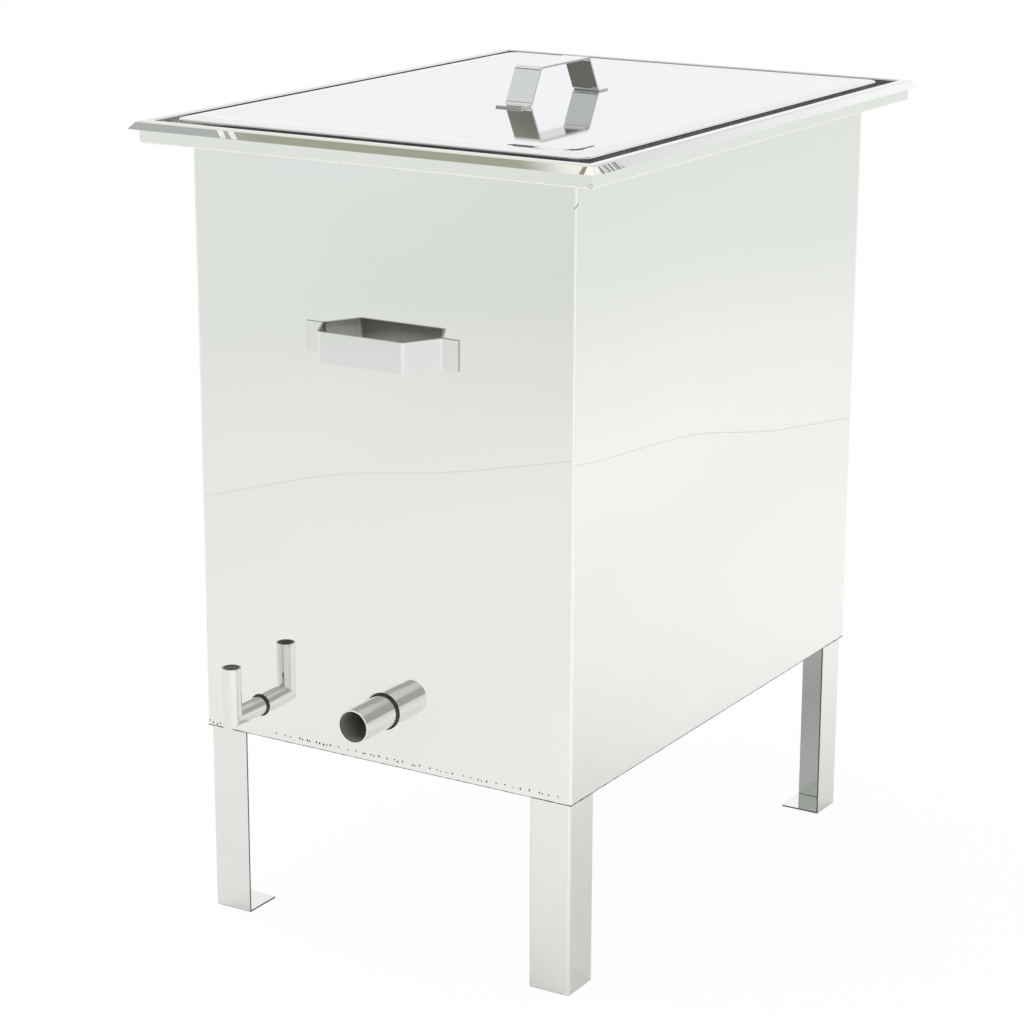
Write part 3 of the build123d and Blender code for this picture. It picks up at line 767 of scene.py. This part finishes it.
draws = random.Random(SPOT_SEED)
form = bmesh.new()
spots = []
for step in range(round((SPOT_LAST - SPOT_FIRST) / SPOT_STEP) + 1):
    x = SPOT_FIRST + SPOT_STEP * step + draws.uniform(-SPOT_STRAY, SPOT_STRAY)
    spots.append((x, SPOT_HEIGHT + draws.uniform(-SPOT_DRIFT, SPOT_DRIFT)))
    if draws.random() < TWIN_CHANCE:
        spots.append((x + draws.uniform(*TWIN_GAP), SPOT_HEIGHT - draws.uniform(*TWIN_DROP)))
spots += CORNER_SPOTS
for x, up in spots:
    for face_y, sign in ((wall_low.y, 1), (wall_high.y, -1)):
        wide = SPOT_RADIUS * draws.uniform(*SPOT_WIDE)
        tall = SPOT_RADIUS * draws.uniform(*SPOT_TALL)
        spot = (sign * x, face_y, wall_low.z + up)
        dome(form, spot, (wide, SPOT_PROUD, tall), draws.uniform(-SPOT_TURN, SPOT_TURN))
add_piece("spot_welds", form, BURNT_AND_SHADED, "tank")
print("spot welds", 2 * len(spots))

# %% Dull linings of the two bores
BORE_SIDES = 64
MOUTH_STEP = 0.0012
DEPTH_SHARES = (0.35, 0.7, 1.0)
OUTLET_LINING = (0.0144, 0.044)  # radius and depth
FILLER_LINING = (0.0074, 0.038)


def bore_lining(name, mouth, inward, radius, depth):
    """A thin lining in a tube, from just inside its mouth to a depth along the inward axis."""
    inward = Vector(inward)
    side = inward.orthogonal().normalized()
    across = inward.cross(side)
    form = bmesh.new()
    rings = []
    for reach in [MOUTH_STEP] + [share * depth for share in DEPTH_SHARES]:
        centre = mouth + inward * reach
        rings.append([
            form.verts.new(centre + radius * (side * math.cos(turn) + across * math.sin(turn)))
            for turn in (2 * math.pi * bit / BORE_SIDES for bit in range(BORE_SIDES))
        ])
    for first, second in zip(rings, rings[1:]):
        for bit in range(BORE_SIDES):
            after = (bit + 1) % BORE_SIDES
            form.faces.new((first[bit], second[bit], second[after], first[after]))
    add_piece(name, form, WAXED, "tank")


low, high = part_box("wax_outlet_pipe")
outlet_mouth = Vector(((low.x + high.x) / 2, low.y, (low.z + high.z) / 2))
bore_lining("wax_outlet_lining", outlet_mouth, (0, 1, 0), *OUTLET_LINING)
low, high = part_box("filler_riser")
filler_mouth = Vector(((low.x + high.x) / 2, (low.y + high.y) / 2, high.z))
bore_lining("filler_lining", filler_mouth, (0, 0, -1), *FILLER_LINING)
print("linings in two bores")

# %% [markdown]
# ## Strap and legs
# Strap and legs are cut with shears and bent in a press. Their edges come out slightly rounded, and the
# sheared faces stay dull and grey. Bevelling a copy gives each edge of the handles its thin line of light.
# The sheared faces go to a piece of their own, so that they can have their own finish. On the legs that
# finish, which their rounded edges share, is near-black: painted shade, for the dark lines along their
# edges and feet. The back of a carry handle and the inside of a leg are rougher, and darker with painted
# shade.

# %% Worked copy helper
HANDLE_ROUND = 0.0003
LEG_ROUND = 0.00045
EDGE_STEPS = 3
FLAT_ANGLE = math.radians(0.5)
CORNER_ANGLE = math.radians(60)
CUT_WIDTH = 0.0022
LONG_EDGE = 0.005
BACK_SHARE = 0.4
POLISHED, CUT, BACK = 0, 1, 2


def is_sheared(face):
    """True for a face as narrow as the sheet is thick, with a sharp edge all along it."""
    rim = sum(edge.calc_length() for edge in face.edges)
    sharp = all(
        edge.calc_face_angle(0) > CORNER_ANGLE for edge in face.edges if edge.calc_length() > LONG_EDGE
    )
    return sharp and 2 * face.calc_area() / rim < CUT_WIDTH


def worked_copy(node, finishes, body, rounding, edge_finish, backs=()):
    """A copy of a bent piece with rounded edges, split into polished, sheared and dull back faces, where
    the backs carry painted shade.
    """
    form = bmesh.new()
    form.from_mesh(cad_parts[node].data)
    bmesh.ops.remove_doubles(form, verts=form.verts, dist=WELD_DISTANCE)
    bmesh.ops.dissolve_limit(form, angle_limit=FLAT_ANGLE, verts=form.verts, edges=form.edges)
    for face in form.faces:
        in_shade = any(face.normal.dot(back) > BACK_SHARE for back in backs)
        face.material_index = CUT if is_sheared(face) else BACK if in_shade else POLISHED
    corners = [edge for edge in form.edges if edge.calc_face_angle(0) > CORNER_ANGLE]
    bmesh.ops.bevel(
        form, geom=corners, offset=rounding, offset_type="OFFSET", segments=EDGE_STEPS, profile=0.5,
        affect="EDGES", clamp_overlap=True, material=edge_finish,
    )
    for index, (ending, finish) in enumerate(zip(("_strip", "_sheared", "_back"), finishes)):
        share = form.copy()
        others = [face for face in share.faces if face.material_index != index]
        bmesh.ops.delete(share, geom=others, context="FACES")
        if not share.faces:
            share.free()
            continue
        for face in share.faces:
            face.material_index = 0
        piece = add_piece(node + ending, share, finish, body)
        piece.modifiers.new("weighted", "WEIGHTED_NORMAL").keep_sharp = True
        if index == POLISHED:
            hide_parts(node)
    form.free()


print("worked copy helper ready")

# %% Handles and legs
# The backs of the carry handles, and the legs' inner faces, sheared faces and rounded edges, get painted
# shade.
strap_finishes = (STRAP, SHEARED, SHADED_BACK)
leg_finishes = (LEG, SHADED_LEG_EDGE, LEG_INSIDE_SHADE)
worked_copy("lid_handle", strap_finishes, "lid", HANDLE_ROUND, POLISHED)
for end, inward in (("front", Vector((0, 1, 0))), ("rear", Vector((0, -1, 0)))):
    worked_copy(end + "_handle", strap_finishes, "tank", HANDLE_ROUND, POLISHED, [inward])
    for hand, sideways in (("left", Vector((1, 0, 0))), ("right", Vector((-1, 0, 0)))):
        leg = f"{end}_{hand}_leg"
        worked_copy(leg, leg_finishes, "tank", LEG_ROUND, CUT, [inward, sideways])

# %% [markdown]
# ## Marks of use
# The rim's front right mitre has been mended: its weld is ground white, heat has tinted the front hem
# beside it, and the wheel has left dark strokes on the right hem. Two pale patches further along the front
# are painted highlights, standing in for glints on the hem. Painting all this into the finishes would need
# a map of the sheet. Thin patches, laid on the hem, are simpler and stay put.

# %% Patches on the hem
HEM_TOP_OUT, HEM_TOP_Z = 0.0352, 0.7640
HEM_TIP_OUT, HEM_TIP_Z = 0.04165, 0.75655
PATCH_PROUD = 0.00006
PATCH_CELLS = 10
UPPER, LOWER = 0.20, 0.97


def hem_spot(side, along, down):
    """A place just off the front or right hem: along it in X or Y, and down it from 0 to 1."""
    slope = Vector((HEM_TIP_OUT - HEM_TOP_OUT, 0, HEM_TIP_Z - HEM_TOP_Z))
    off = Vector((-slope.z, 0, slope.x)).normalized() * PATCH_PROUD
    out = HEM_TOP_OUT + slope.x * down + off.x
    z = HEM_TOP_Z + slope.z * down + off.z
    if side == "front":
        return Vector((along, wall_low.y - out, z))
    return Vector((wall_high.x + out, along, z))


def hem_patch(name, finish, side, *spans):
    """Patches on one hem, each from its span along the upper edge to its span along the lower edge."""
    form = bmesh.new()
    for upper, lower in spans:
        rows = []
        for down, (start, end) in ((UPPER, upper), (LOWER, lower)):
            rows.append([
                form.verts.new(hem_spot(side, start + (end - start) * cell / PATCH_CELLS, down))
                for cell in range(PATCH_CELLS + 1)
            ])
        for cell in range(PATCH_CELLS):
            form.faces.new((rows[0][cell], rows[1][cell], rows[1][cell + 1], rows[0][cell + 1]))
    add_piece(name, form, finish, "tank")


hem_patch("front_hem_weld", GROUND_AND_HIGHLIGHT, "front", ((0.2310, 0.2365), (0.2304, 0.2412)))
hem_patch("front_hem_tint", HEAT_TINT, "front", ((0.2268, 0.2310), (0.2256, 0.2304)))
hem_patch("right_hem_weld", GROUND_AND_HIGHLIGHT, "right", ((-0.3133, -0.3060), (-0.3180, -0.3085)))
hem_patch("right_hem_strokes", STREAKED, "right", ((-0.3060, -0.2760), (-0.3085, -0.2690)))
# Two painted highlights on the front hem, standing in for glints.
hem_patch(
    "front_hem_painted_glints", PAINTED_GLINT, "front",
    ((-0.1455, -0.1388), (-0.1378, -0.1317)), ((-0.1339, -0.1272), (-0.1256, -0.1195)),
)
print("hem patches on two sides")

# %% Seams and nicks at the upright corners
CORNER_SEAM, CORNER_SHAKE = 0.0006, 0.03
SEAM_SINK = 0.0005
SKIRT_REACH = 0.034
SKIRT_SEAM, SKIRT_SHAKE = 0.0012, 0.005
SKIRT_SINK = 0.0010
NICK = [(0.0002, 0.0024, 0.7232), (0.0003, -0.0003, 0.7215), (-0.0024, -0.0002, 0.7192)]
NICK_BEAD, NICK_SHAKE = 0.0004, 0.3
SKIRT_RING, SKIRT_RING_BEAD = 0.0018, 0.00025
SKIRT_RING_X, SKIRT_RING_Z = 0.2325, 0.7466
RING_BEADS = 12
CORNER_SEED = 23

draws = random.Random(CORNER_SEED)
form = bmesh.new()
corner_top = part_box("front_gutter")[0].z
for sign_x in (-1, 1):
    for face_y, sign_y in ((wall_low.y, -1), (wall_high.y, 1)):
        x, y = sign_x * (wall_high.x - SEAM_SINK), face_y - sign_y * SEAM_SINK
        bead(form, (x, y, wall_low.z), (x, y, corner_top), CORNER_SEAM, CORNER_SHAKE, draws)
bmesh.ops.recalc_face_normals(form, faces=form.faces)
add_piece("corner_seams", form, BRIGHT_SEAM, "tank")

# The white beads along the skirt's foot are a painted highlight: the bright line that its rounded lower
# edge catches.
form = bmesh.new()
out = SKIRT_REACH - SKIRT_SINK
z = corner_top + SKIRT_SINK
skirt_foot = [
    Vector((wall_low.x - out, wall_low.y - out, z)), Vector((wall_high.x + out, wall_low.y - out, z)),
    Vector((wall_high.x + out, wall_high.y + out, z)), Vector((wall_low.x - out, wall_high.y + out, z)),
]
for first, second in zip(skirt_foot, skirt_foot[1:] + skirt_foot[:1]):
    bead(form, first, second, SKIRT_SEAM, SKIRT_SHAKE, draws)
bmesh.ops.recalc_face_normals(form, faces=form.faces)
add_piece("skirt_edges", form, GROUND_AND_HIGHLIGHT, "tank")

form = bmesh.new()
places = [Vector((wall_high.x + x, wall_low.y + y, z)) for x, y, z in NICK]
for first, second in zip(places, places[1:]):
    bead(form, first, second, NICK_BEAD, NICK_SHAKE, draws)
ring = []
for bit in range(RING_BEADS):
    turn = 2 * math.pi * bit / RING_BEADS
    x = SKIRT_RING_X + SKIRT_RING * math.cos(turn)
    z = SKIRT_RING_Z + SKIRT_RING * math.sin(turn)
    ring.append(Vector((x, wall_low.y - SKIRT_REACH, z)))
for first, second in zip(ring, ring[1:] + ring[:1]):
    bead(form, first, second, SKIRT_RING_BEAD, NICK_SHAKE, draws)
bmesh.ops.recalc_face_normals(form, faces=form.faces)
add_piece("nicks", form, SHEARED, "tank")
print("seams at four corners, nicks at one")

# %% Sizes
low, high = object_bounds()
print("visual box", tuple(round(side, 4) for side in high - low), "m")
